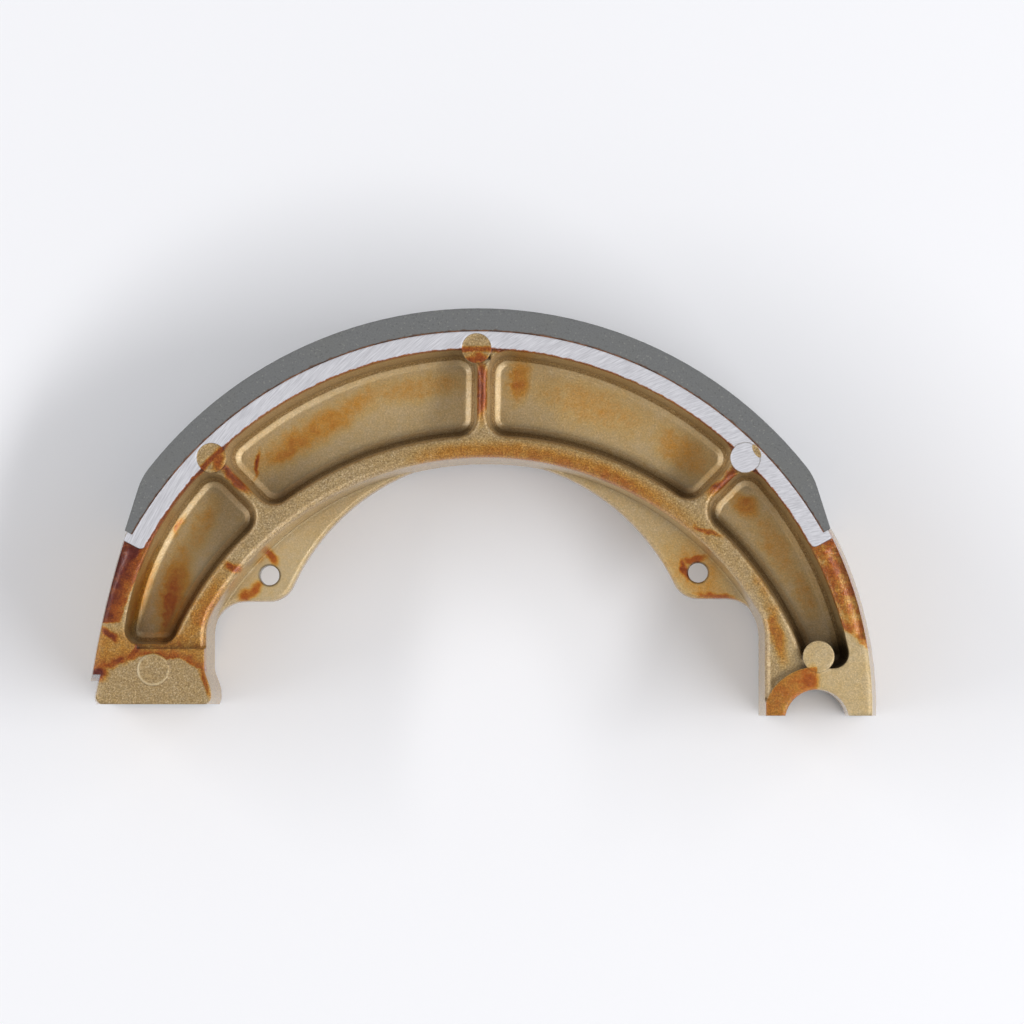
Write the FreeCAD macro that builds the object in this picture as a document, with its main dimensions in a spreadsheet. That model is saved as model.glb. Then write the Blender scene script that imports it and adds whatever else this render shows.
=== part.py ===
"""Drum brake shoe for a 160 mm drum: a die-cast shoe with a bonded friction lining.

The shoe lies on its side. Its origin is on the drum axis, at the side that it rests on, and +Z is
the drum axis. The cam end is at the left (-X) and the anchor end at the right (+X).
"""

import FreeCAD, Part
import math
import os

import Sketcher

Vector = FreeCAD.Vector

# Sizes in millimetres and degrees. Angles are measured from +X about the drum axis, and heights
# from the parting plane, which is halfway across the shoe.
SIZES = {
    # Drum, lining and adhesive
    "drum_radius": 80.0,
    "shoe_width": 30.0,
    "lining_thickness": 4.2,
    "bond_thickness": 0.2,
    "lining_start": 29.4,
    "lining_end": 150.9,
    "lining_tip_drop": 2.8,
    "lining_bevel_lean": 11.7,
    "lining_bevel_blend": 12.0,
    # Heights of the casting, as drops from the side of the table
    "face_drop": 0.8,
    "crest_drop": 2.4,
    "crest_margin": 3.0,
    "crest_beside_rib": 0.8,
    "web_thickness": 6.0,
    "ear_thickness": 5.4,
    "draft": 5.0,
    # The table that carries the lining
    "table_thickness": 3.3,
    "table_overrun": 1.3,
    "table_lip": 1.0,
    "table_corner": 1.2,
    # Flanks beyond the table: their arcs' middles, and how far past the lining they leave the lip
    "anchor_flank_x": 2.1,
    "anchor_flank_y": 3.7,
    "anchor_flank_lead": 2.71,
    "cam_flank_x": 106.0,
    "cam_flank_y": -18.7,
    "cam_flank_lead": 0.56,
    # Inner rim, from the table's inside at the top of its arc
    "rim_x": 1.3,
    "rim_y": -9.3,
    "rim_drop": 20.4,
    "rim_width": 3.6,
    "leg_blend": 10.0,
    "rim_round": 1.5,
    "rim_round_tilt": 5.3,
    # Ribs, all radial
    "rib_width": 1.5,
    "rib_round": 1.0,
    "rib_round_end": 1.0,
    "cam_rib_angle": 134.7,
    "middle_rib_angle": 89.3,
    "anchor_rib_angle": 45.2,
    # Pockets
    "pocket_corner": 4.2,
    "pocket_foot_corner": 2.9,
    "floor_round": 2.4,
    "cam_pocket_wall": 4.2,
    "cam_pocket_y": 11.6,
    "cam_pocket_radius": 53.0,
    "cam_pocket_foot": 15.7,
    "anchor_pocket_foot": 11.2,
    # Cam block, inwards from the drum
    "cam_heel_gap": 7.4,
    "cam_face_length": 21.6,
    "cam_leg_step": 1.3,
    "cam_face": 4.4,
    "cam_block_top": 15.0,
    "cam_toe_top": 7.2,
    "cam_toe_slope": 20.4,
    "cam_toe_round": 4.0,
    "cam_corner": 1.4,
    "cam_heel_lean": 12.4,
    "cam_step": 10.1,
    # Anchor end, inwards from the drum
    "anchor_gap": 15.3,
    "anchor_wall": 9.7,
    "anchor_flat": 2.2,
    "anchor_y": 1.05,
    "anchor_radius": 6.15,
    "anchor_ring": 10.5,
    "anchor_chamfer": 0.4,
    # Spring ears
    "ear_radius": 4.85,
    "ear_leg_blend": 6.5,
    "ear_edge": 0.5,
    "ear_root_drop": 14.8,
    "ear_foot": 15.0,
    "ear_sink": 0.1,
    "spring_hole": 1.9,
    "cam_ear_reach": 11.9,
    "cam_ear_y": 29.2,
    "cam_ear_sweep_x": 2.6,
    "cam_ear_sweep_y": 9.8,
    "anchor_ear_reach": 12.9,
    "anchor_ear_y": 29.7,
    "anchor_ear_sweep_x": -1.2,
    "anchor_ear_sweep_y": 8.8,
    # Ejector pads, on one side only
    "pad_radius": 2.85,
    "pad_overhang": 0.1,
    "middle_pad_angle": 90.2,
    "pad_drop": 0.2,
    "anchor_pad_shift": 0.3,
    "anchor_pad_y": 13.5,
    "anchor_pad_radius": 3.0,
    "cam_pad_inset": 10.6,
    "cam_pad_y": 11.0,
    "cam_pad_radius": 3.1,
    "low_pad_rise": 0.25,
    # How far a cutting outline runs past the edge that it trims
    "overrun": 5.0,
}
SHEET = "Sizes"
START, END, CENTRE = range(1, 4)
AXIS_POINT = (-1, START)
NEAR = 1e-3
BANDS = range(1, 3)


class Size:
    """A size as its number and as the expression that binds a property to the sheet."""

    def __init__(self, number, text):
        self.number = number
        self.text = text

    def __add__(self, other):
        return Size(self.number + other.number, f"({self.text} + {other.text})")

    def __sub__(self, other):
        return Size(self.number - other.number, f"({self.text} - {other.text})")

    def __mul__(self, other):
        return Size(self.number * other.number, f"({self.text} * {other.text})")

    def __truediv__(self, other):
        return Size(self.number / other.number, f"({self.text} / {other.text})")

    def __neg__(self):
        return Size(-self.number, f"(-1 * {self.text})")


def size(name):
    """A driving size, from the sheet."""
    return Size(SIZES[name], f"{SHEET}.{name}")


def plain(number):
    """A number that isn't a size, such as a half or a right angle."""
    return Size(number, str(number))


def sine(angle):
    return Size(math.sin(math.radians(angle.number)), f"sin({angle.text} * 1 deg)")


def cosine(angle):
    return Size(math.cos(math.radians(angle.number)), f"cos({angle.text} * 1 deg)")


def tangent(angle):
    return Size(math.tan(math.radians(angle.number)), f"tan({angle.text} * 1 deg)")


def reach(across, up):
    """The length of a slanted line from its two legs."""
    number = math.hypot(across.number, up.number)
    return Size(number, f"sqrt({across.text} ^ 2 + {up.text} ^ 2)")


HALF = plain(0.5)
RIGHT_ANGLE = plain(90)
HALF_TURN = plain(180)
DRAFT = size("draft")
BAND_TURN = (RIGHT_ANGLE - DRAFT) / plain(len(BANDS) + 1)

# Heights above the parting plane
TOP = size("shoe_width") * HALF
FACE = TOP - size("face_drop")
CREST = TOP - size("crest_drop")
WEB = size("web_thickness") * HALF
EAR = size("ear_thickness") * HALF

# Radii, and distances along X from the drum axis
SEAT = size("drum_radius") - size("lining_thickness") - size("bond_thickness")
LIP = SEAT + size("table_lip")
TABLE_INSIDE = SEAT - size("table_thickness")
RIM_INSIDE = TABLE_INSIDE - size("rim_drop") - size("rim_y")
RIM_OUTSIDE = RIM_INSIDE + size("rim_width")
CAM_HEEL = size("drum_radius") - size("cam_heel_gap")
CAM_TOE = CAM_HEEL - size("cam_face_length")
CAM_LEG = CAM_TOE + size("cam_leg_step")
CAM_PAD_X = size("cam_pad_inset") - CAM_HEEL
CAM_POCKET_X = size("cam_pocket_radius") + size("cam_pocket_wall") - TABLE_INSIDE
ANCHOR_X = size("drum_radius") - size("anchor_gap")
ANCHOR_LEG = ANCHOR_X - size("anchor_wall")
ANCHOR_PAD_X = ANCHOR_X + size("anchor_pad_shift")

# The ears, as the direction that each one's leg faces, its leg and its hole
EARS = {
    "cam": (HALF_TURN, CAM_LEG, size("cam_ear_reach") - CAM_LEG),
    "anchor": (plain(0), ANCHOR_LEG, ANCHOR_LEG - size("anchor_ear_reach")),
}


def polar(radius, angle):
    """A point from its distance from the drum axis and its angle."""
    turn = math.radians(angle.number)
    return Vector(radius.number * math.cos(turn), radius.number * math.sin(turn), 0)


def polar_sizes(radius, angle):
    """The same point as two sizes."""
    return radius * cosine(angle), radius * sine(angle)


class Round:
    """A side of an outline that lies on a circle, about the drum axis unless x and y say where."""

    def __init__(self, radius, x=None, y=None):
        self.radius, self.x, self.y = radius, x, y
        self.middle = Vector(x.number, y.number, 0) if x else Vector()

    def curve(self, shift=0.0):
        return Part.Circle(self.middle, Vector(0, 0, 1), self.radius.number + shift)

    def foot(self, point):
        outwards = (point - self.middle).normalize()
        return self.middle + outwards * self.radius.number

    def piece(self, start, end):
        return short_arc(self.curve(), start, end)

    def fix(self, sketch, index):
        constrain(sketch, self.radius, "Radius", index)
        if self.x:
            constrain(sketch, self.x, "DistanceX", *AXIS_POINT, index, CENTRE)
            constrain(sketch, self.y, "DistanceY", *AXIS_POINT, index, CENTRE)
        else:
            sketch.addConstraint(Sketcher.Constraint("Coincident", index, CENTRE, *AXIS_POINT))


class Straight:
    """A straight side, from its normal's angle and its distance from the drum axis, or None if it is radial."""

    def __init__(self, normal, distance=None):
        self.normal, self.distance = normal, distance
        turn = math.radians(normal.number)
        self.across = Vector(math.cos(turn), math.sin(turn), 0)
        self.along = Vector(-math.sin(turn), math.cos(turn), 0)
        self.middle = self.across * (distance.number if distance else 0.0)

    def curve(self, shift=0.0):
        place = self.middle + self.across * shift
        return Part.Line(place, place + self.along)

    def foot(self, point):
        return self.middle + self.along * (point - self.middle).dot(self.along)

    def piece(self, start, end):
        return Part.LineSegment(start, end)

    def fix(self, sketch, index):
        line = sketch.Geometry[index]
        runs_along = (line.EndPoint - line.StartPoint).dot(self.along) > 0
        heading = self.normal + RIGHT_ANGLE if runs_along else self.normal - RIGHT_ANGLE
        constrain(sketch, heading, "Angle", index)
        if self.distance:
            constrain(sketch, self.distance, "Distance", *AXIS_POINT, index)
        else:
            sketch.addConstraint(Sketcher.Constraint("PointOnObject", *AXIS_POINT, index))


def constrain(sketch, value, kind, *where):
    """Add a constraint with a value, bound to the sheet."""
    number = math.radians(value.number) if kind == "Angle" else value.number
    index = sketch.addConstraint(Sketcher.Constraint(kind, *where, number))
    unit = "1 deg" if kind == "Angle" else "1 mm"
    sketch.setExpression(f"Constraints[{index}]", f"{value.text} * {unit}")


def short_arc(circle, start, end):
    """The shorter arc of a circle between two of its points."""
    first, last = circle.parameter(start), circle.parameter(end)
    if (last - first) % (2 * math.pi) > math.pi:
        first, last = last, first
    return Part.ArcOfCircle(circle, first, last)


def crossings(curve, other):
    return [Vector(p.X, p.Y, p.Z) for p in curve.intersectCC(other)]


def corner_of(side, other, near):
    """The crossing of two sides that is closest to a rough place."""
    return min(crossings(side.curve(), other.curve()), key=near.distanceToPoint)


def rounding(side, other, corner, side_end, other_end, radius):
    """The middle of the arc that rounds a corner, and where it touches the two sides."""
    found = []
    for shift in (-radius, radius):
        for other_shift in (-radius, radius):
            for middle in crossings(side.curve(shift), other.curve(other_shift)):
                touch, other_touch = side.foot(middle), other.foot(middle)
                on_side = (touch - corner).dot(side_end - corner) > 0
                on_other = (other_touch - corner).dot(other_end - corner) > 0
                if on_side and on_other:
                    found.append((middle.distanceToPoint(corner), middle, touch, other_touch))
    return min(found, key=lambda row: row[0])[1:]


def end_at(sketch, index, point):
    """Which end of a sketch's piece lies at a point."""
    start = sketch.getPoint(index, START)
    end = sketch.getPoint(index, END)
    return START if start.distanceToPoint(point) < end.distanceToPoint(point) else END


def add_outline(sketch, corners):
    """Draw a closed outline from (side, rough place of its far corner, rounding there or None)."""
    sides = [side for side, _, _ in corners]
    count = len(sides)
    points = [corner_of(sides[i], sides[(i + 1) % count], corners[i][1]) for i in range(count)]
    starts = [points[i - 1] for i in range(count)]
    ends = list(points)
    roundings = {}
    for i in range(count):
        radius = corners[i][2]
        if radius:
            far, after = points[i - 1], (i + 1) % count
            middle, touch, next_touch = rounding(
                sides[i], sides[after], points[i], far, points[after], radius.number
            )
            roundings[i] = middle
            ends[i], starts[after] = touch, next_touch
    pieces = [sketch.addGeometry(sides[i].piece(starts[i], ends[i]), False) for i in range(count)]
    for i in range(count):
        after = (i + 1) % count
        first = (pieces[i], end_at(sketch, pieces[i], ends[i]))
        last = (pieces[after], end_at(sketch, pieces[after], starts[after]))
        if i in roundings:
            circle = Part.Circle(roundings[i], Vector(0, 0, 1), corners[i][2].number)
            arc = sketch.addGeometry(short_arc(circle, ends[i], starts[after]), False)
            for piece, point in ((first, ends[i]), (last, starts[after])):
                meeting = (arc, end_at(sketch, arc, point))
                sketch.addConstraint(Sketcher.Constraint("Tangent", *piece, *meeting))
            constrain(sketch, corners[i][2], "Radius", arc)
        else:
            sketch.addConstraint(Sketcher.Constraint("Coincident", *first, *last))
    for side, piece in zip(sides, pieces):
        side.fix(sketch, piece)


def add_circle(sketch, x, y, radius):
    middle = Vector(x.number, y.number, 0)
    index = sketch.addGeometry(Part.Circle(middle, Vector(0, 0, 1), radius.number), False)
    constrain(sketch, radius, "Radius", index)
    constrain(sketch, x, "DistanceX", *AXIS_POINT, index, CENTRE)
    constrain(sketch, y, "DistanceY", *AXIS_POINT, index, CENTRE)


def new_sketch(body, name, height=None):
    """A sketch on the parting plane, or at a height above it."""
    sketch = body.newObject("Sketcher::SketchObject", name)
    sketch.AttachmentSupport = [(parting_plane(body), "")]
    sketch.MapMode = "FlatFace"
    if height:
        sketch.setExpression("AttachmentOffset.Base.z", f"{height.text} * 1 mm")
    return sketch


def parting_plane(body):
    return next(plane for plane in body.Origin.OriginFeatures if plane.Role == "XY_Plane")


def add_pad(body, sketch, length, taper=None, downwards=False):
    """Material from a sketch. A positive taper widens it away from the sketch."""
    return extruded(body, "PartDesign::Pad", sketch, length, taper, downwards)


def add_pocket(body, sketch, depth, taper=None, upwards=False):
    """A cut downwards from a sketch. A positive taper widens it away from the sketch."""
    return extruded(body, "PartDesign::Pocket", sketch, depth, taper, upwards)


def extruded(body, kind, sketch, length, taper, reverse):
    feature = body.newObject(kind, sketch.Name + kind.split("::")[1])
    feature.Profile = sketch
    feature.Reversed = reverse
    feature.setExpression("Length", f"{length.text} * 1 mm")
    if taper:
        feature.setExpression("TaperAngle", f"{taper.text} * 1 deg")
    return feature


def add_through_pocket(body, sketch):
    """A cut right through the shoe, both ways from a sketch on the parting plane."""
    pocket = body.newObject("PartDesign::Pocket", sketch.Name + "Pocket")
    pocket.Profile = sketch
    pocket.SideType = "Symmetric"
    pocket.setExpression("Length", f"{(TOP + TOP + size('overrun')).text} * 1 mm")
    return pocket


def new_body(doc, name):
    """A body whose parting plane lies halfway up the shoe's width."""
    body = doc.addObject("PartDesign::Body", name)
    body.Label = name
    body.setExpression("Placement.Base.z", f"{TOP.text} * 1 mm")
    return body


# The casting, whose upper half is drawn first and then mirrored in the parting plane


def add_block(body):
    """The whole casting's plan at face level, widened down to the parting plane by the draft."""
    sketch = new_sketch(body, "Block", FACE)
    step, foot = size("cam_step"), plain(0)
    cam_face, cam_corner = size("cam_face"), size("cam_corner")
    slope = size("cam_toe_slope")
    slope_distance = CAM_TOE * cosine(slope) - size("cam_toe_top") * sine(slope)
    heel = Vector(-CAM_HEEL.number, step.number, 0)
    heel_foot = Vector(-CAM_HEEL.number, cam_face.number, 0)
    toe_foot = Vector(-CAM_TOE.number, cam_face.number, 0)
    slope_foot = Vector(-CAM_TOE.number, size("cam_toe_top").number, 0)
    leg_head = Vector(-CAM_LEG.number, size("cam_block_top").number, 0)
    rim_head = Vector(ANCHOR_LEG.number, size("cam_block_top").number, 0)
    lip_start = size("lining_start") - size("anchor_flank_lead")
    lip_end = size("lining_end") + size("cam_flank_lead")
    outline = [
        (flank("anchor", lip_start), polar(LIP, lip_start), None),
        (Round(LIP), polar(LIP, lip_end), None),
        (flank("cam", lip_end), heel, None),
        (Straight(RIGHT_ANGLE, step), heel, None),
        (Straight(HALF_TURN - size("cam_heel_lean"), CAM_HEEL), heel_foot, cam_corner),
        (Straight(RIGHT_ANGLE, cam_face), toe_foot, cam_corner),
        (Straight(HALF_TURN, CAM_TOE), slope_foot, size("cam_toe_round")),
        (Straight(HALF_TURN + slope, slope_distance), leg_head, size("cam_toe_round")),
        (Straight(HALF_TURN, CAM_LEG), leg_head, size("leg_blend")),
        (Round(RIM_INSIDE, size("rim_x"), size("rim_y")), rim_head, size("leg_blend")),
        (Straight(plain(0), ANCHOR_LEG), Vector(ANCHOR_LEG.number, foot.number, 0), None),
        (Straight(RIGHT_ANGLE), Vector(SEAT.number, foot.number, 0), None),
    ]
    add_outline(sketch, outline)
    return add_pad(body, sketch, FACE, DRAFT, downwards=True)


def flank(end, lip_angle):
    """The outer flank of an end of the shoe, an arc that leaves the table's lip at an angle."""
    x, y = size(f"{end}_flank_x"), size(f"{end}_flank_y")
    lip_x, lip_y = polar_sizes(LIP, lip_angle)
    return Round(reach(lip_x - x, lip_y - y), x, y)


def add_table(body):
    """The band under the lining, which stands proud of the faces beyond it and is milled flat."""
    sketch = new_sketch(body, "Table")
    start = size("lining_start") - size("table_overrun")
    end = size("lining_end") + size("table_overrun")
    outline = [
        (Round(LIP), polar(SEAT, end), None),
        (Straight(end + RIGHT_ANGLE), polar(SEAT, end), size("table_corner")),
        (Round(TABLE_INSIDE), polar(SEAT, start), size("table_corner")),
        (Straight(start + RIGHT_ANGLE), polar(SEAT, start), None),
    ]
    add_outline(sketch, outline)
    return add_pad(body, sketch, TOP)


def add_ears(body):
    """The two spring ears, thin plates on the parting plane that run up into the rim."""
    sketch = new_sketch(body, "Ears", EAR)
    middle = size("middle_rib_angle")
    root, foot = TABLE_INSIDE - size("ear_root_drop"), size("ear_foot")
    for name, (side, upright, x) in EARS.items():
        y = size(f"{name}_ear_y")
        sweep_x, sweep_y = size(f"{name}_ear_sweep_x"), size(f"{name}_ear_sweep_y")
        sweep = reach(x - sweep_x, y - sweep_y) - size("ear_radius")
        leg = upright - (FACE - EAR) * tangent(DRAFT) + size("ear_sink")
        leg_foot = Vector(math.copysign(leg.number, x.number), foot.number, 0)
        leg_head = Vector(leg_foot.x, y.number, 0)
        hole = Vector(x.number, y.number, 0)
        outline = [
            (Round(root), leg_foot, None),
            (Straight(RIGHT_ANGLE, foot), leg_foot, None),
            (Straight(side, leg), leg_head, size("ear_leg_blend")),
            (Straight(RIGHT_ANGLE, y - size("ear_radius")), hole, size("ear_radius")),
            (Round(sweep, sweep_x, sweep_y), polar(root, middle), None),
            (Straight(middle + RIGHT_ANGLE), polar(root, middle), None),
        ]
        add_outline(sketch, outline)
    return add_pad(body, sketch, EAR, DRAFT, downwards=True)


def lower_crests(body):
    """Ribs and rim are lowered to their crests, up to the cam block, the table and the anchor ring."""
    sketch = new_sketch(body, "Crests", FACE)
    inside = RIM_INSIDE + size("rim_y") - size("overrun")
    margin = TABLE_INSIDE - size("crest_margin")
    block_top = size("cam_block_top")
    beside_rib = size("rib_width") * HALF + size("crest_beside_rib")
    pad_head = Vector(margin.number, size("anchor_pad_y").number, 0)
    pad = Vector(ANCHOR_PAD_X.number, size("anchor_pad_y").number, 0)
    ring_side = Vector(ANCHOR_LEG.number, size("anchor_y").number, 0)
    foot_end = TABLE_INSIDE - size("cam_pocket_wall") - size("pocket_foot_corner")
    foot_corner = Vector(-foot_end.number, block_top.number, 0)
    outline = [
        (Round(inside), Vector(-inside.number, block_top.number, 0), None),
        (Straight(RIGHT_ANGLE, block_top), foot_corner, None),
        (Straight(HALF_TURN, foot_end), foot_corner, None),
    ]
    for name in ("cam_rib_angle", "middle_rib_angle", "anchor_rib_angle"):
        rib = size(name)
        head, root = polar(TABLE_INSIDE, rib), polar(margin, rib)
        outline += [
            (Round(margin), root, None),
            (Straight(rib + RIGHT_ANGLE, beside_rib), head, None),
            (Round(TABLE_INSIDE), head, None),
            (Straight(rib - RIGHT_ANGLE, beside_rib), root, None),
        ]
    outline += [
        (Round(margin), pad_head, None),
        (Straight(RIGHT_ANGLE, size("anchor_pad_y")), pad, None),
        (Straight(plain(0), ANCHOR_PAD_X), pad, None),
        (Round(size("anchor_ring"), ANCHOR_X, size("anchor_y")), ring_side, None),
        (Straight(RIGHT_ANGLE, size("anchor_y")), Vector(inside.number, 0, 0), None),
    ]
    add_outline(sketch, outline)
    return add_pocket(body, sketch, FACE - CREST)


def pocket_outlines(inset, held=plain(0)):
    """The four pockets' outlines, drawn in from those at face level, and further in by held where
    the wall rises past the crests."""
    rim = Round(RIM_OUTSIDE + inset, size("rim_x"), size("rim_y"))
    corner, foot_corner = size("pocket_corner") - inset, size("pocket_foot_corner") - inset
    deep = inset + held
    table_side = Round(TABLE_INSIDE - deep)
    cam_side = Round(size("cam_pocket_radius") - deep, CAM_POCKET_X, size("cam_pocket_y"))
    cam_foot = Straight(RIGHT_ANGLE, size("cam_pocket_foot") + deep)
    anchor_foot = Straight(RIGHT_ANGLE, size("anchor_pocket_foot") + deep)
    cam_rib, middle_rib = size("cam_rib_angle"), size("middle_rib_angle")
    anchor_rib = size("anchor_rib_angle")
    return {
        (cam_rib + size("lining_end")) * HALF: [
            (cam_side, foot_corner),
            (cam_foot, foot_corner),
            (rim, corner),
            (rib_side(cam_rib, RIGHT_ANGLE, inset), corner),
        ],
        (cam_rib + middle_rib) * HALF: [
            (table_side, corner),
            (rib_side(cam_rib, -RIGHT_ANGLE, inset), corner),
            (rim, corner),
            (rib_side(middle_rib, RIGHT_ANGLE, inset), corner),
        ],
        (middle_rib + anchor_rib) * HALF: [
            (table_side, corner),
            (rib_side(middle_rib, -RIGHT_ANGLE, inset), corner),
            (rim, corner),
            (rib_side(anchor_rib, RIGHT_ANGLE, inset), corner),
        ],
        size("lining_start"): [
            (table_side, corner),
            (rib_side(anchor_rib, -RIGHT_ANGLE, inset), corner),
            (rim, foot_corner),
            (anchor_foot, foot_corner),
        ],
    }


def rib_side(rib, turn, inset):
    """The side of a rib that faces the way of the turn, a right angle either way from the rib."""
    return Straight(rib + turn, size("rib_width") * HALF + inset)


def pocket_corners(inset, held=plain(0)):
    """The pockets' outlines with the rough places of their corners."""
    halfway = (TABLE_INSIDE + RIM_INSIDE) * HALF
    for angle, sides in pocket_outlines(inset, held).items():
        inside = polar(halfway, angle)
        yield [(side, inside, corner) for side, corner in sides]


def hub_corners(inset):
    """The outline of the open space inside the rim, from the cam block to the anchor ring, drawn in
    from that at face level."""
    leg, far_leg = CAM_LEG - inset, ANCHOR_LEG - inset
    blend = size("leg_blend") - inset
    block_top, tilt = size("cam_block_top"), size("rim_round_tilt")
    low_side = block_top * cosine(tilt) - CAM_LEG * sine(tilt)
    leg_head = Vector(-leg.number, block_top.number, 0)
    far_head = Vector(far_leg.number, block_top.number, 0)
    yield [
        (Straight(HALF_TURN, leg), leg_head, blend),
        (Round(RIM_INSIDE - inset, size("rim_x"), size("rim_y")), far_head, blend),
        (Straight(plain(0), far_leg), Vector(far_leg.number, 0, 0), None),
        (Straight(RIGHT_ANGLE - tilt, low_side), leg_head, None),
    ]


def cut_band(body, name, outlines, height, depth, slope):
    """Cut outlines down from a height, narrowing by a slope from the upright."""
    sketch = new_sketch(body, name, height)
    for outline in outlines:
        add_outline(sketch, outline)
    return add_pocket(body, sketch, depth, -slope)


def bend_rise(radius, bend):
    """How far the edge between two bands lies above the centre of the circle that they touch."""
    return radius / cosine(BAND_TURN * HALF) * sine(bend)


def add_pockets(body):
    """The four lightening pockets, whose drafted walls run into the web through a rounding.

    A rounding is cut as sloped bands that each touch its circle, so that it takes few facets.
    """
    radius = size("floor_round")
    height, inset, slope = FACE, plain(0), DRAFT
    for band in (0, *BANDS):
        bottom = WEB + radius - bend_rise(radius, slope + BAND_TURN * HALF)
        depth = height - bottom
        cut_band(body, f"Pockets{band}", pocket_corners(inset), height, depth, slope)
        height, inset, slope = bottom, inset + depth * tangent(slope), slope + BAND_TURN


def round_crest(body, name, corners, radius):
    """Round an edge at crest level, above a drafted wall, with bands of its own."""
    corner = tangent((RIGHT_ANGLE - DRAFT) * HALF) - tangent(BAND_TURN * HALF)
    inset = (FACE - CREST) * tangent(DRAFT) - radius * corner
    height, slope = CREST, RIGHT_ANGLE - BAND_TURN
    for band in BANDS:
        bottom = CREST - radius + bend_rise(radius, slope - BAND_TURN * HALF)
        depth = height - bottom
        cut_band(body, f"{name}{band}", corners(inset), height, depth, slope)
        height, inset, slope = bottom, inset + depth * tangent(slope), slope - BAND_TURN


def rib_corners(inset):
    return pocket_corners(inset, size("rib_round_end"))


def turn_seat(body):
    """The seat of the lining, turned to its radius between the ends of the lining."""
    sketch = new_sketch(body, "Seat")
    start, end = size("lining_start"), size("lining_end")
    outline = [
        (Round(SEAT + size("overrun")), polar(SEAT, end), None),
        (Straight(end + RIGHT_ANGLE), polar(SEAT, end), None),
        (Round(SEAT), polar(SEAT, start), None),
        (Straight(start + RIGHT_ANGLE), polar(SEAT, start), None),
    ]
    add_outline(sketch, outline)
    return add_pocket(body, sketch, TOP + size("overrun"), upwards=True)


def cut_flats(body):
    """The flat that the cam bears on, and the flats beside the anchor pin."""
    sketch = new_sketch(body, "Flats")
    below, far = size("overrun"), size("drum_radius") + size("overrun")
    ends = ((CAM_TOE, HALF_TURN, size("cam_face")), (ANCHOR_LEG, plain(0), size("anchor_flat")))
    for end, side, top in ends:
        near = end - size("overrun")
        near_x = math.copysign(near.number, math.cos(math.radians(side.number)))
        far_x = math.copysign(far.number, near_x)
        outline = [
            (Straight(RIGHT_ANGLE, top), Vector(near_x, 0, 0), None),
            (Straight(side, near), Vector(near_x, -below.number, 0), None),
            (Straight(-RIGHT_ANGLE, below), Vector(far_x, -below.number, 0), None),
            (Straight(side, far), Vector(far_x, 0, 0), None),
        ]
        add_outline(sketch, outline)
    return add_pocket(body, sketch, TOP + size("overrun"), upwards=True)


def edges_where(shape, test):
    return [f"Edge{i}" for i, edge in enumerate(shape.Edges, 1) if test(shape, edge)]


def middle_of(edge):
    return edge.valueAt((edge.FirstParameter + edge.LastParameter) / 2)


def lies_at(edge, height):
    box = edge.BoundBox
    return abs(box.ZMin - height.number) < NEAR and abs(box.ZMax - height.number) < NEAR


def wall_falls(shape, edge):
    """Does the wall at a level edge go down from it, rather than up?"""
    probe = size("ear_edge").number / 4
    gaps = {}
    for way in (-probe, probe):
        point = Part.Vertex(middle_of(edge) + Vector(0, 0, way))
        walls = [face for face in shape.ancestorsOfType(edge, Part.Face) if face.BoundBox.ZLength > NEAR]
        gaps[way] = min(point.distToShape(wall)[0] for wall in walls)
    return gaps[-probe] < gaps[probe]


def chamfer(body, name, test, amount):
    """Chamfer those edges of the body so far that pass a test."""
    feature = body.Tip
    found = edges_where(feature.Shape, test)
    if not found:
        raise RuntimeError(f"{name} found no edge to chamfer")
    broken = body.newObject("PartDesign::Chamfer", name)
    broken.Base = (feature, found)
    broken.setExpression("Size", f"{amount.text} * 1 mm")
    body.Document.recompute()
    return broken


def at_ear_edge(shape, edge):
    """Is this an upper edge of a spring ear?"""
    return lies_at(edge, EAR) and wall_falls(shape, edge)


def mirror_half(body):
    mirror = body.newObject("PartDesign::Mirrored", "OtherHalf")
    mirror.TransformMode = "Whole shape"
    mirror.MirrorPlane = (parting_plane(body), [""])
    body.Tip = mirror
    return mirror


def at_anchor_mouth(shape, edge):
    """Is this an edge of the half bore, on either side of the shoe?"""
    if not (lies_at(edge, FACE) or lies_at(edge, -FACE)):
        return False
    middle = middle_of(edge) - Vector(ANCHOR_X.number, size("anchor_y").number, 0)
    return abs(math.hypot(middle.x, middle.y) - size("anchor_radius").number) < NEAR


def add_bores(body):
    """The half bore that sits on the anchor pin, and the holes that the springs hook into."""
    sketch = new_sketch(body, "Bores")
    add_circle(sketch, ANCHOR_X, size("anchor_y"), size("anchor_radius"))
    for name, (_, _, x) in EARS.items():
        add_circle(sketch, x, size(f"{name}_ear_y"), size("spring_hole"))
    return add_through_pocket(body, sketch)


def add_ejector_pads(body):
    """Round pads where the ejector pins pushed, on the upper side only."""
    circle, radius = TABLE_INSIDE + size("pad_overhang"), size("pad_radius")
    table_pads = [
        polar_sizes(circle, size("cam_rib_angle")),
        polar_sizes(circle, size("middle_pad_angle")),
    ]
    pad_top = TOP - size("pad_drop")
    recess = new_sketch(body, "PadRecess", TOP)
    for x, y in table_pads:
        add_circle(recess, x, y, radius)
    add_pocket(body, recess, size("pad_drop"))
    table = new_sketch(body, "TablePads")
    for x, y in table_pads:
        add_circle(table, x, y, radius)
    add_pad(body, table, pad_top)
    milled = new_sketch(body, "MilledPad")
    add_circle(milled, *polar_sizes(circle, size("anchor_rib_angle")), radius)
    add_pad(body, milled, TOP)
    low = new_sketch(body, "LowPads")
    add_circle(low, ANCHOR_PAD_X, size("anchor_pad_y"), size("anchor_pad_radius"))
    add_circle(low, CAM_PAD_X, size("cam_pad_y"), size("cam_pad_radius"))
    return add_pad(body, low, FACE + size("low_pad_rise"))


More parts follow.
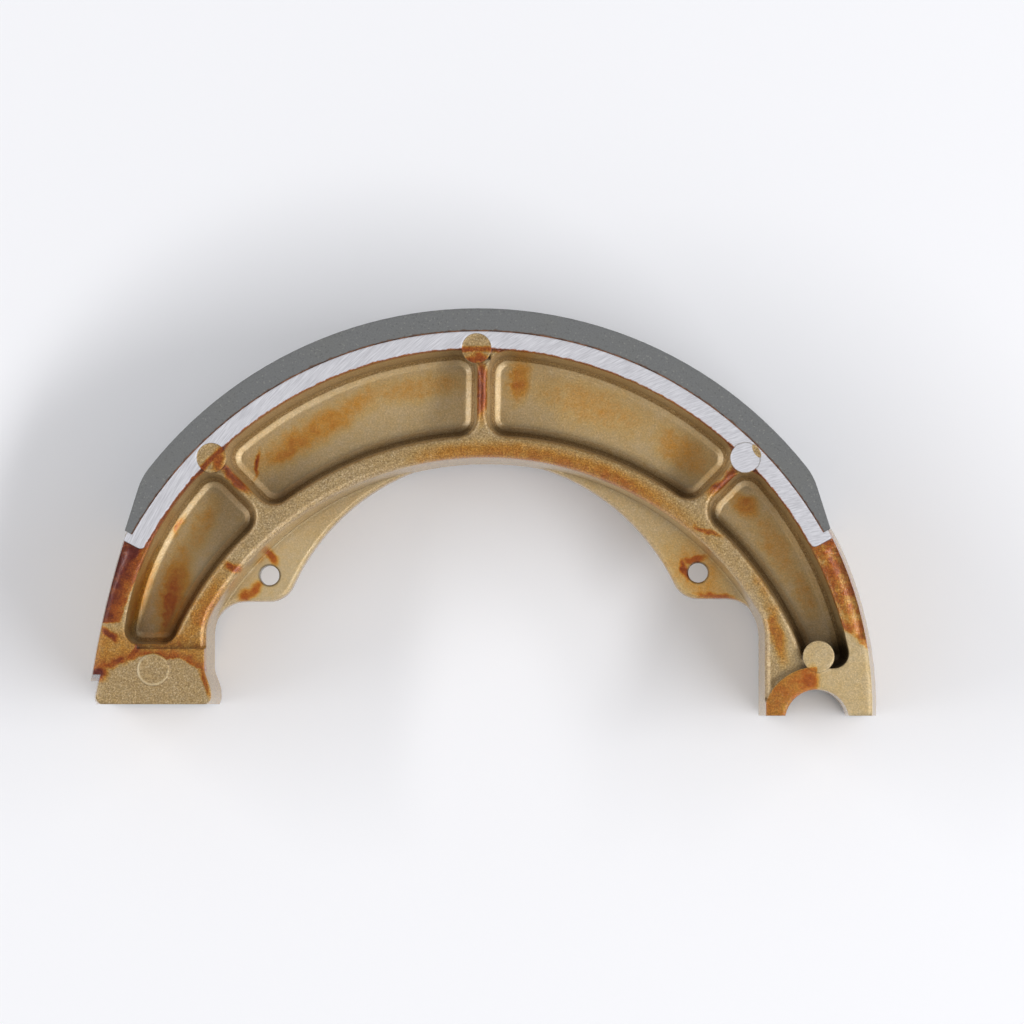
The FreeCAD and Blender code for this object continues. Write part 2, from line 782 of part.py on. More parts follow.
def make_casting(doc):
    body = new_body(doc, "shoe_casting")
    add_block(body)
    lower_crests(body)
    add_table(body)
    add_ears(body)
    add_pockets(body)
    round_crest(body, "RibRound", rib_corners, size("rib_round"))
    round_crest(body, "RimRound", hub_corners, size("rim_round"))
    turn_seat(body)
    cut_flats(body)
    doc.recompute()
    chamfer(body, "EarEdge", at_ear_edge, size("ear_edge"))
    mirror_half(body)
    doc.recompute()
    add_bores(body)
    doc.recompute()
    chamfer(body, "AnchorChamfer", at_anchor_mouth, size("anchor_chamfer"))
    add_ejector_pads(body)
    return body


def make_lining(doc):
    """The moulded friction lining, bevelled at both ends."""
    body = new_body(doc, "friction_lining")
    sketch = new_sketch(body, "Lining")
    start, end = size("lining_start"), size("lining_end")
    lean, tip = size("lining_bevel_lean"), size("drum_radius") - size("lining_tip_drop")
    bevel = tip * cosine(lean)
    outer, inner = Round(size("drum_radius")), Round(SEAT + size("bond_thickness"))
    blend = size("lining_bevel_blend")
    outline = [
        (outer, polar(size("drum_radius"), end - lean), blend),
        (Straight(end + lean, bevel), polar(tip, end), None),
        (Straight(end + RIGHT_ANGLE), polar(SEAT, end), None),
        (inner, polar(SEAT, start), None),
        (Straight(start + RIGHT_ANGLE), polar(tip, start), None),
        (Straight(start - lean, bevel), polar(size("drum_radius"), start + lean), blend),
    ]
    add_outline(sketch, outline)
    across = add_pad(body, sketch, size("shoe_width"))
    across.SideType = "Symmetric"
    return body


def make_bond(doc):
    """The film of adhesive between the seat and the lining."""
    body = new_body(doc, "bond_layer")
    sketch = new_sketch(body, "Bond")
    start, end = size("lining_start"), size("lining_end")
    outline = [
        (Round(SEAT + size("bond_thickness")), polar(SEAT, end), None),
        (Straight(end + RIGHT_ANGLE), polar(SEAT, end), None),
        (Round(SEAT), polar(SEAT, start), None),
        (Straight(start + RIGHT_ANGLE), polar(SEAT, start), None),
    ]
    add_outline(sketch, outline)
    across = add_pad(body, sketch, size("shoe_width"))
    across.SideType = "Symmetric"
    return body


def add_sheet(doc):
    sheet = doc.addObject("Spreadsheet::Sheet", SHEET)
    for row, (name, number) in enumerate(SIZES.items(), start=1):
        sheet.set(f"A{row}", name)
        sheet.set(f"B{row}", str(number))
        sheet.setAlias(f"B{row}", name)
    doc.recompute()


def check_document(doc):
    """Stop if anything in the document failed to build."""
    for thing in doc.Objects:
        if "Invalid" in thing.State or "Error" in thing.State:
            raise RuntimeError(f"{thing.Name} failed: {thing.State}")
        if thing.TypeId == "Sketcher::SketchObject" and thing.solve() != 0:
            raise RuntimeError(f"the sketch {thing.Name} doesn't solve")


def export(bodies):
    os.makedirs("parts", exist_ok=True)
    for body in bodies:
        if body.Shape.isNull() or not body.Shape.isValid():
            raise RuntimeError(f"{body.Label} has no valid shape")
    for body in bodies:
        body.Shape.exportStep(f"parts/{body.Label}.step")
        volume = body.Shape.Volume / 1000
        print(f"{body.Label}: {volume:.2f} cm3, {len(body.Shape.Faces)} faces")


def main():
    doc = FreeCAD.newDocument("BrakeShoe")
    add_sheet(doc)
    bodies = [make_casting(doc), make_lining(doc), make_bond(doc)]
    doc.recompute()
    check_document(doc)
    export(bodies)


main()
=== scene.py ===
"""Looks of the brake shoe: varnished casting, milled band, ground lining, light and camera."""

import math

import bpy
from mathutils import Matrix, Vector

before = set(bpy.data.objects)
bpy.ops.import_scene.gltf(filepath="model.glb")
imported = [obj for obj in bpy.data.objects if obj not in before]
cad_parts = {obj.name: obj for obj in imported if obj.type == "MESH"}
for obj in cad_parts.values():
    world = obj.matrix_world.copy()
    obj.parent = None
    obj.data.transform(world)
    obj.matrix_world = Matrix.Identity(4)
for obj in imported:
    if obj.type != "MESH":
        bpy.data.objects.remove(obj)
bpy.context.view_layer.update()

MM = 0.001

# Heights, radii and places of the part, in millimetres
SIDE_TOP = 30.0
FACE_TOP = 29.2
MID_PLANE = 15.0
SHOE_CENTRE = (0.0, 0.0)
LINING_SEAT = 75.6
TABLE_INSIDE = 72.3
TABLE_END = 34.0
FLANK_ROLL = 73.6
RIM_CENTRE = (1.3, -9.3)
RIM_INSIDE = 61.2
RIM_WALL = 65.4
ANCHOR = (64.7, 1.05)
ANCHOR_RING = 10.5
BLOCK_PAD = (-62.1, 11.0)
MILLED_PAD = (51.0, 51.4)
PAD_RADIUS = 3.0
SPRING_HOLES = ((-40.4, 29.2), (42.1, 29.7))
SPRING_HOLE_RADIUS = 1.9

# The milling cutter turned about this place, which gives the scratches their sweep
CUTTER = (80.0, -40.0)

# Varnish pools: x, y, z, half length, half width, half depth, turn in degrees, depth of colour
POOLS = (
    # Darkest place of the cam flank, the step of the cam block and the marks beside it
    (-66.0, 33.4, 29.2, 4.0, 2.4, 4.0, 40.0, 1.0),
    (-70.2, 17.6, 29.2, 3.6, 1.5, 4.0, -48.0, 0.80),
    (-72.6, 10.2, 22.0, 3.4, 2.4, 24.0, 0.0, 0.98),
    (-69.6, 12.2, 29.2, 5.0, 1.5, 4.0, 18.0, 0.72),
    (-65.6, 14.4, 29.2, 4.6, 1.5, 4.0, 50.0, 0.70),
    (-52.0, 8.6, 29.2, 5.4, 1.1, 4.0, -70.0, 0.62),
    # Small cam-side pocket, its outer wall and its rim
    (-58.8, 26.2, 18.0, 13.5, 4.2, 4.0, 75.6, 0.53),
    (-59.4, 24.0, 18.0, 11.5, 2.7, 4.0, 76.0, 0.65),
    (-53.6, 38.0, 18.0, 9.0, 3.2, 4.0, 62.0, 0.30),
    (-64.6, 26.6, 23.0, 16.0, 2.6, 9.0, 71.0, 0.52),
    (-57.9, 38.6, 21.0, 4.4, 1.3, 5.0, 62.0, 0.84),
    (-47.0, 30.6, 27.0, 3.0, 1.6, 4.0, -20.0, 0.72),
    (-52.4, 22.4, 27.0, 13.0, 3.6, 5.0, 60.0, 0.44),
    # Big cam-side pocket
    (-42.9, 50.6, 20.0, 4.6, 1.0, 6.0, 80.0, 0.80),
    (-31.0, 57.4, 18.0, 21.0, 4.4, 4.0, 32.0, 0.42),
    (-36.0, 53.8, 18.0, 9.0, 2.6, 4.0, 36.0, 0.50),
    (-12.0, 65.2, 18.0, 14.0, 3.8, 4.0, 8.0, 0.26),
    # Rib crests
    (0.5, 64.8, 27.6, 9.0, 2.0, 6.0, 90.0, 0.72),
    (-46.8, 47.8, 27.6, 6.4, 1.7, 5.0, 135.0, 0.72),
    (47.2, 47.2, 27.6, 6.0, 1.6, 5.0, 45.0, 0.70),
    # Rim crest
    (26.0, 47.4, 27.6, 15.0, 2.6, 4.0, -28.0, 0.46),
    (43.6, 37.5, 27.6, 4.6, 1.1, 4.0, -22.0, 0.62),
    (57.0, 18.0, 27.6, 8.6, 2.2, 4.0, -78.0, 0.54),
    (54.4, 26.0, 26.0, 9.0, 1.6, 4.0, -62.0, 0.30),
    # Big and small anchor-side pockets
    (7.6, 66.6, 18.5, 6.4, 3.4, 5.0, 80.0, 0.50),
    (22.0, 61.6, 18.0, 18.0, 6.0, 4.0, -20.0, 0.24),
    (39.0, 53.0, 18.0, 10.0, 5.0, 4.0, -40.0, 0.30),
    (51.3, 42.6, 18.5, 4.6, 3.0, 4.0, -30.0, 0.42),
    (57.5, 34.0, 18.0, 13.0, 4.0, 4.0, -60.0, 0.24),
    (62.4, 26.0, 18.0, 8.0, 3.0, 4.0, -68.0, 0.32),
    # Anchor end
    (63.2, 9.0, 29.2, 3.6, 2.6, 4.0, 70.0, 0.66),
    # Spring ears
    (-40.3, 33.0, 17.7, 3.4, 1.4, 4.0, -46.0, 0.70),
    (-42.4, 32.8, 17.7, 3.6, 1.3, 4.0, 50.0, 0.36),
    (-43.8, 26.1, 17.7, 4.6, 1.6, 4.0, 40.0, 0.68),
    (39.5, 30.4, 17.7, 3.6, 1.6, 4.0, -70.0, 0.74),
    (41.6, 32.3, 17.7, 4.0, 1.4, 4.0, 6.0, 0.68),
    (45.4, 24.9, 17.7, 7.2, 1.5, 4.0, -12.0, 0.56),
    (41.5, 30.0, 17.7, 11.0, 7.0, 4.0, -52.0, 0.30),
    # Ejector pads
    (-0.2, 70.2, 29.8, 4.4, 1.8, 2.0, 0.0, 0.74),
    (-49.6, 50.8, 29.8, 4.2, 2.0, 2.0, 75.0, 0.56),
)

# Depth of colour of the longer runs, as one level or from the first to the last
RING_DEPTH = 0.50
BAND_LIP_DEPTH = 0.66
RIM_RUN_DEPTH = 0.48
CAM_FLANK_DEPTH = (0.64, 0.86)
ANCHOR_FLANK_DEPTH = (0.36, 0.62)
BLOCK_RUN_DEPTH = (0.62, 0.42)
THINNEST = 0.10

# Varnish that the cutter left on the milled pad, the palest ear, and painted light on a pocket
# floor
PAD_SLIVER = (53.2, 52.7, 30.0, 2.2, 0.9, 3.0, -60.0, 1.0)
PALE_EAR = (-38.5, 31.0, 17.7, 16.0, 8.0, 4.0, 52.0, 1.0)
LIT_FLOOR_POOL = (-57.0, 29.0, 18.0, 18.0, 6.0, 2.0, 66.0, 1.0)

# Noises: width of the lumps, detail and roughness
RAGGED = (1.3, 4.0, 0.7)
WANDER = (3.0, 4.0, 0.65)
BLOTCHES = (2.4, 4.0, 0.7)
CLOUDS = (14.0, 3.0, 0.5)
FLANK_PATCHES = (2.2, 4.0, 0.7)
CAST_GRAIN = (0.34, 3.0, 0.6)
CAST_LUMPS = (1.5, 3.0, 0.6)
FINE_SCRATCHES = (0.24, 3.0, 0.65)
BROAD_SCRATCHES = (1.2, 2.0, 0.5)
LINING_GRAIN = (0.30, 3.0, 0.7)
LINING_CLOUDS = (9.0, 3.0, 0.6)
LINING_EDGE = (1.2, 3.0, 0.5)
GLUE_PATCHES = (1.4, 3.0, 0.6)

# Sizes of single specks, of the pools' wandering, of the painted shade in corners and of rounded
# edges
FLAKE_SIZE = 0.20
LINING_SPECK_SIZE = 0.26
POOL_WARP_SIZE = 2.6
POOL_WARP_REACH = 2.4
SHADE_REACH = 4.5
CAST_EDGE = 0.6
FLANK_EDGE = 1.6
LINING_ROUNDING = 0.3


def rgb(red, green, blue):
    """A colour from the 0 to 255 values that it shows as."""
    linear = [
        value / 255 / 12.92 if value <= 10 else ((value / 255 + 0.055) / 1.055) ** 2.4
        for value in (red, green, blue)
    ]
    return (*linear, 1.0)


# Varnished metal without its tint, with painted light, a painted highlight and painted shade
GRAIN_DARK = rgb(142, 119, 84)
GRAIN_LIGHT = rgb(196, 171, 128)
FLAKE = rgb(238, 220, 184)
# Painted light on the level floors of the pockets
PAINTED_FLOOR_LIGHT = rgb(240, 216, 170)
# Painted light at the anchor end and on a pocket floor, and the paler ear
PALE_AND_LIT_GOLD = rgb(240, 222, 182)
# Painted highlight on the edge of the cam block's pad
PAD_EDGE_HIGHLIGHT = rgb(240, 226, 196)
# Painted shade in hollows, on walls and by the rim, and the holes' dark rings
PAINTED_SHADE_BROWN = rgb(46, 31, 13)

# What the varnish lets through, from thin to thick
TINTS = (
    (1.0, 0.99, 0.97, 1.0),
    (1.0, 0.86, 0.56, 1.0),
    (1.0, 0.62, 0.16, 1.0),
    (0.74, 0.23, 0.025, 1.0),
    (0.26, 0.03, 0.008, 1.0),
)

# Milled metal
SCRATCH_DARK = rgb(200, 199, 204)
SCRATCH_LIGHT = rgb(230, 229, 234)
SCRATCH_BROAD = rgb(180, 178, 182)
PAD_LINE = rgb(104, 92, 74)

# Lining, adhesive, floor and sky
LINING_DARK = rgb(103, 104, 104)
LINING_LIGHT = rgb(115, 116, 116)
LINING_WARM = rgb(112, 112, 107)
LINING_PALE_SPECK = rgb(160, 158, 150)
LINING_DARK_SPECK = rgb(80, 80, 78)
LINING_FOOT = rgb(88, 60, 40)
GLUE_DARK = rgb(58, 34, 18)
GLUE_LIGHT = rgb(124, 76, 40)
FLOOR = rgb(243, 243, 246)
SKY = (0.97, 0.98, 1.0, 1.0)

# Lamps: name, place, width and height in metres, power in watts
LAMP_AIM = (0.0, 0.04, 0.015)
LAMPS = (
    ("right_key", (0.88, -0.34, 1.00), 1.20, 0.24, 9.4),
    ("right_fill", (0.95, 0.35, 0.70), 0.80, 0.16, 2.2),
    ("left_key", (-1.00, 0.16, 0.72), 1.20, 0.12, 5.2),
    ("left_fill", (-0.80, -0.35, 1.00), 1.00, 1.00, 1.2),
)

# World: level of the walls and of the ceiling, and the heights between which one turns to the other
WALL_LEVEL = 0.52
CEILING_LEVEL = 0.30
CEILING_START = 0.6
CEILING_FULL = 1.0

# Camera, straight above and as far away as the photograph was taken from
CAMERA_PLACE = (0.030, 0.005, 1.430)
CAMERA_AIM = (0.0065, 0.0411, 0.029)
SENSOR_WIDTH = 36.0
FOCAL_LENGTH = 258.0
VIEW_RANGE = 20.0

FLOOR_SIZE = 6.0


class Nodes:
    """Short ways to build a material's node tree. Lengths are in millimetres."""

    def __init__(self, name):
        self.material = bpy.data.materials.new(name)
        self.material.use_nodes = True
        self.tree = self.material.node_tree
        self.tree.nodes.clear()
        place = self.add("ShaderNodeTexCoord").outputs["Object"]
        self.place = self.vector("SCALE", place, scale=1 / MM)
        split = self.add("ShaderNodeSeparateXYZ", Vector=self.place)
        self.x, self.y, self.z = (split.outputs[axis] for axis in "XYZ")
        surface = self.add("ShaderNodeNewGeometry").outputs["Normal"]
        self.facing = self.add("ShaderNodeSeparateXYZ", Vector=surface).outputs["Z"]

    def add(self, kind, settings=None, **inputs):
        """A node, with its settings and with its inputs linked or set."""
        node = self.tree.nodes.new(kind)
        for key, value in (settings or {}).items():
            setattr(node, key, value)
        for key, value in inputs.items():
            self.put(node.inputs[key.replace("_", " ")], value)
        return node

    def put(self, socket, value):
        """Link a socket, or set it where the value is a constant."""
        if isinstance(value, bpy.types.NodeSocket):
            self.tree.links.new(value, socket)
        elif value is not None:
            socket.default_value = value

    def maths(self, operation, *values):
        node = self.add("ShaderNodeMath", {"operation": operation})
        for socket, value in zip(node.inputs, values):
            self.put(socket, value)
        return node.outputs[0]

    def vector(self, operation, *values, scale=None):
        node = self.add("ShaderNodeVectorMath", {"operation": operation})
        for socket, value in zip(node.inputs, values):
            self.put(socket, value)
        if scale is not None:
            self.put(node.inputs["Scale"], scale)
        return node.outputs["Vector"]

    def sum(self, first, *others):
        for other in others:
            first = self.maths("ADD", first, other)
        return first

    def times(self, first, *others):
        for other in others:
            first = self.maths("MULTIPLY", first, other)
        return first

    def biggest(self, first, *others):
        for other in others:
            first = self.maths("MAXIMUM", first, other)
        return first

    def invert(self, value):
        return self.maths("SUBTRACT", 1.0, value)

    def ramp(self, value, low, high, out_low=0.0, out_high=1.0):
        """A smooth step of a value, from low to high."""
        node = self.add("ShaderNodeMapRange", {"interpolation_type": "SMOOTHSTEP", "clamp": True})
        for key, number in (
            ("Value", value),
            ("From Min", low),
            ("From Max", high),
            ("To Min", out_low),
            ("To Max", out_high),
        ):
            self.put(node.inputs[key], number)
        return node.outputs[0]

    def fall(self, value, low, high):
        """1 up to low, and down to 0 at high."""
        return self.invert(self.ramp(value, low, high))

    def band(self, value, low, high, soft):
        """1 between two values, which fades over a soft edge on either side."""
        past_low = self.ramp(value, low - soft, low + soft)
        return self.times(past_low, self.fall(value, high - soft, high + soft))

    def excess(self, value, limit):
        """How far a value is past a limit, or 0."""
        return self.maths("MAXIMUM", self.sum(value, -limit), 0.0)

    def noise(self, size, detail, roughness, place=None, output="Fac"):
        """Soft noise between 0 and 1 whose lumps are about as wide as size."""
        node = self.add(
            "ShaderNodeTexNoise",
            Vector=place or self.place,
            Scale=1.0 / size,
            Detail=detail,
            Roughness=roughness,
        )
        return node.outputs[output]

    def waver(self, size, detail, roughness):
        """Soft noise between -0.5 and 0.5."""
        return self.sum(self.noise(size, detail, roughness), -0.5)

    def speck(self, size):
        """One level between 0 and 1 for each cell that is about as wide as size."""
        cells = self.add("ShaderNodeTexVoronoi", Vector=self.place, Scale=1.0 / size)
        return self.add("ShaderNodeSeparateColor", Color=cells.outputs["Color"]).outputs[0]

    def warped(self, size, amount):
        """The place, pushed about by noise."""
        push = self.vector("SUBTRACT", self.noise(size, 3.0, 0.5, output="Color"), (0.5, 0.5, 0.5))
        return self.vector("ADD", self.place, self.vector("SCALE", push, scale=amount))

    def spread_from(self, middle):
        """Distance in plan from a place."""
        across = self.maths("SUBTRACT", self.x, middle[0])
        up = self.maths("SUBTRACT", self.y, middle[1])
        return self.maths("SQRT", self.sum(self.times(across, across), self.times(up, up)))

    def mix(self, amount, first, second, kind="MIX"):
        node = self.add("ShaderNodeMix", {"data_type": "RGBA", "blend_type": kind})
        for index, value in ((0, amount), (6, first), (7, second)):
            self.put(node.inputs[index], value)
        return node.outputs[2]

    def mix_value(self, amount, first, second):
        node = self.add("ShaderNodeMix", {"data_type": "FLOAT"})
        for index, value in ((0, amount), (2, first), (3, second)):
            self.put(node.inputs[index], value)
        return node.outputs[0]

    def mix_vector(self, amount, first, second):
        node = self.add("ShaderNodeMix", {"data_type": "VECTOR"})
        for index, value in ((0, amount), (4, first), (5, second)):
            self.put(node.inputs[index], value)
        return node.outputs[1]

    def layered(self, colour, *layers):
        """Colours laid over the first one by one, each with its mask and its share."""
        for mask, share, over in layers:
            colour = self.mix(self.times(mask, share), colour, over)
        return colour

    def stops(self, value, *colours):
        """A colour from evenly spaced ones, for a value from 0 to 1."""
        node = self.add("ShaderNodeValToRGB", Fac=value)
        elements = node.color_ramp.elements
        while len(elements) < len(colours):
            elements.new(0.5)
        for index, colour in enumerate(colours):
            elements[index].position = index / (len(colours) - 1)
            elements[index].color = colour
        return node.outputs["Color"]

    def pool(self, place, spot):
        """A soft-edged ellipsoid that is as deep as its level in its middle."""
        x, y, z, along, across, deep, turn, level = spot
        mapped = self.add("ShaderNodeMapping", {"vector_type": "TEXTURE"}, Vector=place)
        mapped.inputs["Location"].default_value = (x, y, z)
        mapped.inputs["Rotation"].default_value = (0, 0, math.radians(turn))
        mapped.inputs["Scale"].default_value = (along, across, deep)
        settings = {"gradient_type": "SPHERICAL"}
        ball = self.add("ShaderNodeTexGradient", settings, Vector=mapped.outputs[0])
        return self.ramp(ball.outputs["Fac"], 0.0, 0.75, 0.0, level)

    def bump(self, height, distance, normal=None, strength=1.0):
        node = self.add("ShaderNodeBump", Strength=strength, Distance=distance * MM, Height=height)
        self.put(node.inputs["Normal"], normal)
        return node.outputs[0]

    def rounded(self, radius):
        """The normal with edges rounded by a radius in metres."""
        return self.add("ShaderNodeBevel", {"samples": 6}, Radius=radius).outputs[0]

    def openness(self, distance):
        """1 in the open and lower where the surface is shut in."""
        node = self.add("ShaderNodeAmbientOcclusion", {"samples": 8}, Distance=distance * MM)
        return node.outputs["AO"]

    def finish(self, **inputs):
        """The material, with these inputs on its shader."""
        shader = self.add("ShaderNodeBsdfPrincipled", **inputs)
        output = self.add("ShaderNodeOutputMaterial")
        self.tree.links.new(shader.outputs[0], output.inputs["Surface"])
        return self.material


class Casting(Nodes):
    """Bronze varnish over grainy cast aluminium, with darker runs, painted light and shade, and the
    milled band.
    """

    def __init__(self):
        super().__init__("varnished_casting")
        self.radius = self.spread_from(SHOE_CENTRE)
        self.rim_radius = self.spread_from(RIM_CENTRE)
        self.above_mid = self.maths("ABSOLUTE", self.maths("SUBTRACT", self.z, MID_PLANE))
        self.level_part = self.ramp(self.maths("ABSOLUTE", self.facing), 0.60, 0.90)
        # How shut in each place is, which sets the painted shade
        self.hollow = self.invert(self.openness(SHADE_REACH))
        self.ragged = self.waver(*RAGGED)
        self.wander = self.waver(*WANDER)
        self.torn_radius = self.sum(self.radius, self.times(self.ragged, 0.8))
        self.grain = self.noise(*CAST_GRAIN)
        self.flake = self.speck(FLAKE_SIZE)

    def milled_parts(self):
        """The band and the pad that the cutter met, and the line around that pad."""
        side = SIDE_TOP - MID_PLANE
        at_side = self.ramp(self.above_mid, side - 0.12, side - 0.04)
        in_band = self.ramp(self.torn_radius, TABLE_INSIDE + 0.05, TABLE_INSIDE + 0.3)
        from_pad = self.sum(self.spread_from(MILLED_PAD), self.times(self.ragged, 0.5))
        on_pad = self.fall(from_pad, PAD_RADIUS - 0.3, PAD_RADIUS - 0.05)
        sliver = self.ramp(self.pool(self.place, PAD_SLIVER), 0.35, 0.55)
        milled = self.times(at_side, self.biggest(in_band, on_pad), self.invert(sliver))
        pad_line = self.times(self.band(from_pad, PAD_RADIUS - 0.22, PAD_RADIUS, 0.08), at_side)
        return milled, pad_line

    def pools(self):
        """The scattered pools, with wandering outlines."""
        place = self.warped(POOL_WARP_SIZE, POOL_WARP_REACH)
        return self.biggest(*(self.pool(place, spot) for spot in POOLS))

    def anchor_ring(self):
        """The half of the ring around the anchor that is covered more thickly."""
        torn_x = self.sum(self.x, self.times(self.ragged, 1.6))
        return self.times(
            self.fall(self.spread_from(ANCHOR), ANCHOR_RING - 0.3, ANCHOR_RING + 0.3),
            self.fall(torn_x, ANCHOR[0] - 0.2, ANCHOR[0] + 0.2),
            self.ramp(self.z, FACE_TOP - 1.5, FACE_TOP - 0.5),
            RING_DEPTH,
        )

    def band_lip(self):
        """The dark line along the inner edge of the milled band."""
        return self.times(
            self.band(self.torn_radius, TABLE_INSIDE - 0.65, TABLE_INSIDE + 0.5, 0.35),
            self.ramp(self.above_mid, 12.0, 13.6),
            self.ramp(self.y, TABLE_END - 0.4, TABLE_END),
            BAND_LIP_DEPTH,
        )

    def rim_run(self):
        """The run along the rim's inner edge, beside the middle of the arch."""
        torn_rim = self.sum(self.rim_radius, self.times(self.ragged, 3.0))
        return self.times(
            self.fall(torn_rim, RIM_INSIDE + 1.0, RIM_INSIDE + 4.4),
            self.ramp(self.x, -18.0, -4.0),
            self.fall(self.x, 30.0, 52.0),
            self.ramp(self.above_mid, 9.0, 11.0),
            RIM_RUN_DEPTH,
        )

    def on_flanks(self):
        """The upper side of both flanks, and their outer walls down to a ragged edge."""
        torn_height = self.sum(self.z, self.times(self.wander, 14.0), self.times(self.ragged, 3.0))
        outer_wall = self.times(
            self.ramp(self.radius, FLANK_ROLL - 0.6, FLANK_ROLL),
            self.ramp(torn_height, 20.0, 24.5),
        )
        return self.times(
            self.ramp(self.sum(self.radius, self.ragged), 70.9, 71.5),
            self.biggest(self.ramp(self.z, 26.0, 28.0), outer_wall),
        )

    def flank_runs(self):
        """The thick runs on the flanks, darkest along the cam flank's outer edge."""
        torn_y = self.sum(self.y, self.times(self.wander, 1.4))
        torn_radius = self.sum(self.radius, self.times(self.wander, 4.0))
        cam_flank = self.times(
            self.band(torn_y, 19.9, 36.0, 0.25),
            self.ramp(self.x, -60.0, -62.0),
            self.ramp(torn_radius, 71.6, 74.2, *CAM_FLANK_DEPTH),
        )
        slant = self.sum(
            self.y,
            self.times(self.sum(self.x, -71.4), 0.8),
            self.times(self.wander, 3.0),
        )
        patchy = self.sum(self.noise(*FLANK_PATCHES), self.times(slant, 0.003))
        anchor_flank = self.times(
            self.ramp(self.x, 60.0, 62.0),
            self.band(slant, 17.2, 38.5, 0.5),
            self.ramp(patchy, 0.42, 0.62, *ANCHOR_FLANK_DEPTH),
        )
        return self.times(self.on_flanks(), self.biggest(cam_flank, anchor_flank))

    def block_run(self):
        """The run across the top of the cam block, round its pad."""
        edge = self.sum(
            self.y,
            self.times(self.excess(self.times(self.x, -1.0), 64.0), 0.26),
            self.times(self.excess(self.x, -57.0), 0.60),
            self.times(self.wander, 2.6),
        )
        return self.times(
            self.ramp(self.x, -50.0, -51.0),
            self.ramp(self.z, 25.0, 27.0),
            self.fall(self.y, 15.4, 22.0),
            self.ramp(edge, 13.0, 13.6),
            self.ramp(edge, 13.6, 15.4, *BLOCK_RUN_DEPTH),
            self.ramp(self.spread_from(BLOCK_PAD), PAD_RADIUS - 0.3, PAD_RADIUS + 0.3),
        )

    def depth(self):
        """Depth of the varnish, from clear gold at 0 to dark red-brown at 1."""
        runs = self.biggest(
            self.pools(),
            self.anchor_ring(),
            self.band_lip(),
            self.rim_run(),
            self.flank_runs(),
            self.block_run(),
        )
        uneven = self.sum(
            self.times(self.waver(*BLOTCHES), 0.42),
            self.times(self.waver(*CLOUDS), 0.34),
            self.times(self.ragged, 0.42),
        )
        swing = self.ramp(runs, 0.0, 0.4, 0.6, 1.0)
        return self.sum(runs, THINNEST, self.times(uneven, swing))

    def pale_and_lit_places(self):
        """Painted light at the anchor end and on the small cam-side floor, and the paler cam-side
        ear.
        """
        lit_anchor_end = self.times(
            self.ramp(self.x, 54.0, 65.0),
            self.fall(self.y, 12.0, 26.0),
            self.ramp(self.z, 26.0, 28.0),
        )
        ear, floor = (self.pool(self.place, spot) for spot in (PALE_EAR, LIT_FLOOR_POOL))
        return self.biggest(lit_anchor_end, ear, floor)

    def pad_edge_highlight(self):
        """Painted highlight on the edge of the cam block's pad, faint on the side towards the
        pocket.
        """
        across = self.sum(self.x, self.y, self.times(self.wander, 4.0))
        return self.times(
            self.band(self.spread_from(BLOCK_PAD), PAD_RADIUS - 0.35, PAD_RADIUS + 0.05, 0.14),
            self.ramp(across, -48.0, -54.0, 0.25, 1.0),
            self.ramp(self.above_mid, 13.0, 14.0),
        )

    def corners(self):
        """Painted shade in the hollows, on the pockets' walls and along the foot of the rim, and a
        dark ring round the edges of the holes.
        """
        deep = self.ramp(self.hollow, 0.30, 0.70, 0.0, 0.88)
        shade_on_walls = self.times(
            self.band(self.above_mid, 5.4, 12.2, 1.5),
            self.ramp(self.hollow, 0.06, 0.26),
            0.62,
        )
        shade_by_rim = self.times(
            self.band(self.rim_radius, RIM_WALL - 2.0, RIM_WALL + 2.0, 1.1),
            self.fall(self.above_mid, 11.0, 12.5),
            self.ramp(self.hollow, 0.01, 0.10),
            0.74,
        )
        from_hole = self.maths("MINIMUM", *(self.spread_from(hole) for hole in SPRING_HOLES))
        near, far = SPRING_HOLE_RADIUS + 0.1, SPRING_HOLE_RADIUS + 0.5
        hole_edge = self.times(self.fall(from_hole, near, far), 0.72)
        return self.biggest(deep, shade_on_walls, shade_by_rim, hole_edge)

    def varnish(self, depth):
        """Colour of the grain, its paler places, its painted light, highlight and shade, and the
        varnish over them.
        """
        # Painted light: level pocket floors made paler
        painted_floor_light_mask = self.times(self.fall(self.above_mid, 4.0, 7.0), self.level_part)
        metal = self.mix(self.ramp(self.grain, 0.30, 0.70), GRAIN_DARK, GRAIN_LIGHT)
        metal = self.layered(
            metal,
            (self.ramp(self.flake, 0.84, 0.95), 0.40, FLAKE),
            # Painted light on the level pocket floors
            (painted_floor_light_mask, 0.42, PAINTED_FLOOR_LIGHT),
            # Painted light at the anchor end and on a pocket floor, and the paler ear
            (self.pale_and_lit_places(), 0.36, PALE_AND_LIT_GOLD),
            # Painted highlight on the edge of the cam block's pad
            (self.pad_edge_highlight(), 0.45, PAD_EDGE_HIGHLIGHT),
            # Painted shade, and the dark rings round the holes
            (self.corners(), 1.0, PAINTED_SHADE_BROWN),
        )
        return self.mix(1.0, metal, self.stops(depth, *TINTS), "MULTIPLY")

    def scratches(self):
        """Fine and broad milling scratches, on arcs about the cutter."""
        east = self.maths("SUBTRACT", self.x, CUTTER[0])
        north = self.maths("SUBTRACT", self.y, CUTTER[1])
        along = self.times(self.maths("ARCTAN2", north, east), 9.0)
        arcs = self.add("ShaderNodeCombineXYZ", X=self.spread_from(CUTTER), Y=along)
        kinds = (FINE_SCRATCHES, BROAD_SCRATCHES)
        return [self.noise(*kind, place=arcs.outputs[0]) for kind in kinds]

